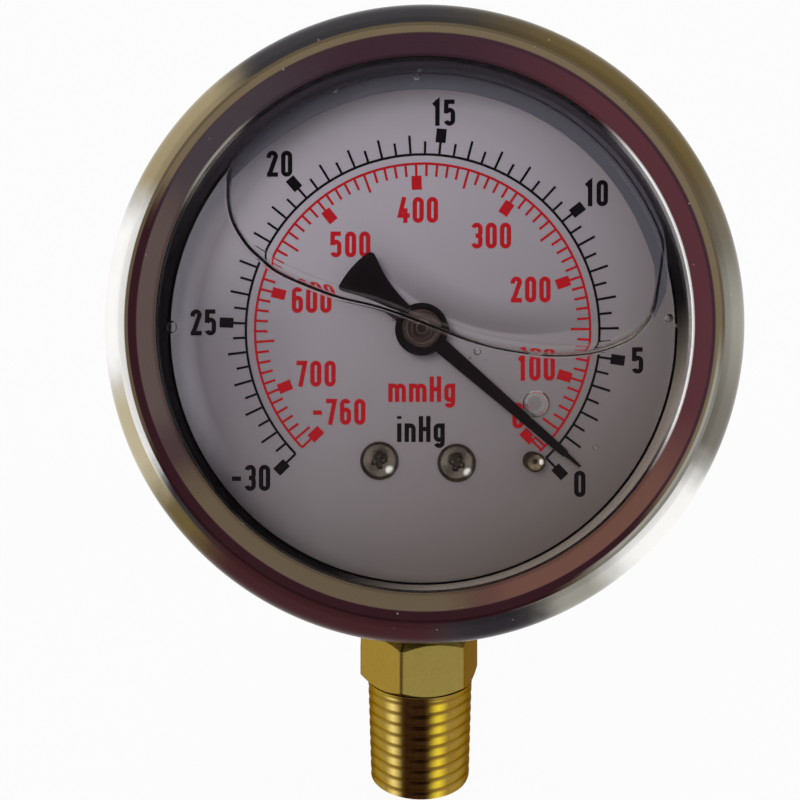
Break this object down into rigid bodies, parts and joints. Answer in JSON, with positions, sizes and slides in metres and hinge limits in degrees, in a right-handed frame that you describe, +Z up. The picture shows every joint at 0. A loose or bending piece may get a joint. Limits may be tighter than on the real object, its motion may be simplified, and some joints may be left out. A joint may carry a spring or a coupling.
{
  "type": "vacuum gauge",
  "caption": "Round liquid-filled vacuum gauge with a crimped bezel, a two-scale dial, a geared Bourdon-tube movement and a hexagonal brass stem with a taper thread.",
  "frame": {"origin": "centre of the stem's end face", "axes": "+Z up along the stem, -Y out of the dial towards the reader, +X to the reader's right"},
  "size_m": [0.07, 0.0334, 0.0944],
  "materials": {
    "case_steel": "satin",
    "bezel_steel": "polished",
    "window": "clear",
    "rubber": "matt",
    "brass": "machined",
    "bronze": "drawn",
    "screw_steel": "satin",
    "dial_white": "matt",
    "print_black": "printed",
    "print_red": "printed",
    "dial_screw": "nickel plated",
    "stop_brass": "nickel plated",
    "pointer_black": "satin",
    "hub_grey": "turned"
  },
  "bodies": {
    "housing": {"case": "case_steel", "bezel": "bezel_steel", "window": "window", "window_gasket": "rubber", "fill_plug": "rubber", "socket": "brass", "neck_o_ring": "rubber", "socket_screws": "screw_steel", "restrictor": "brass", "bourdon_tube": "bronze", "bottom_plate": "brass", "top_plate": "brass", "plate_posts": "brass", "plate_screws": "screw_steel", "hairspring": "bronze", "hairspring_stud": "brass", "dial": "dial_white", "inhg_scale": "print_black", "mmhg_scale": "print_red", "dial_posts": "brass", "dial_screws": "dial_screw", "stop_pin": "stop_brass"},
    "pointer_arbor": {"pinion": "screw_steel", "hairspring_collet": "brass", "pointer_hub": "hub_grey", "pointer": "pointer_black"},
    "sector_gear": {"sector": "brass", "sector_arbor": "screw_steel", "link_screw": "screw_steel"},
    "drag_link": {"link": "brass"},
    "tube_end": {"tube_tip": "brass", "tip_pin": "screw_steel"}
  },
  "joints": [
    {"name": "pointer_turn", "type": "hinge", "parent": "housing", "child": "pointer_arbor", "pos_m": [0, 0, 0.0594], "axis": [0, -1, 0], "range_deg": [-3.9, 266], "deforming": ["hairspring"]},
    {"name": "sector_swing", "type": "hinge", "parent": "housing", "child": "sector_gear", "pos_m": [0.01025, 0, 0.04647], "axis": [0, -1, 0], "range_deg": [-26.8, 0.6]},
    {"name": "link_swing", "type": "hinge", "parent": "sector_gear", "child": "drag_link", "pos_m": [0.01522, 0, 0.0426], "axis": [0, -1, 0], "range_deg": [-0.6, 23.2]},
    {"name": "tube_curl", "type": "hinge", "parent": "housing", "child": "tube_end", "pos_m": [-0.00248, 0, 0.06471], "axis": [0, -1, 0], "range_deg": [-5.96, 0.09], "stiffness_Nm_per_rad": 0.02, "deforming": ["bourdon_tube"]}
  ],
  "couplings": [
    {"joint": "sector_swing", "follows": "tube_curl", "ratio": 4.4643},
    {"joint": "pointer_turn", "follows": "tube_curl", "ratio": -44.643},
    {"joint": "link_swing", "follows": "tube_curl", "ratio": -3.8304}
  ]
}
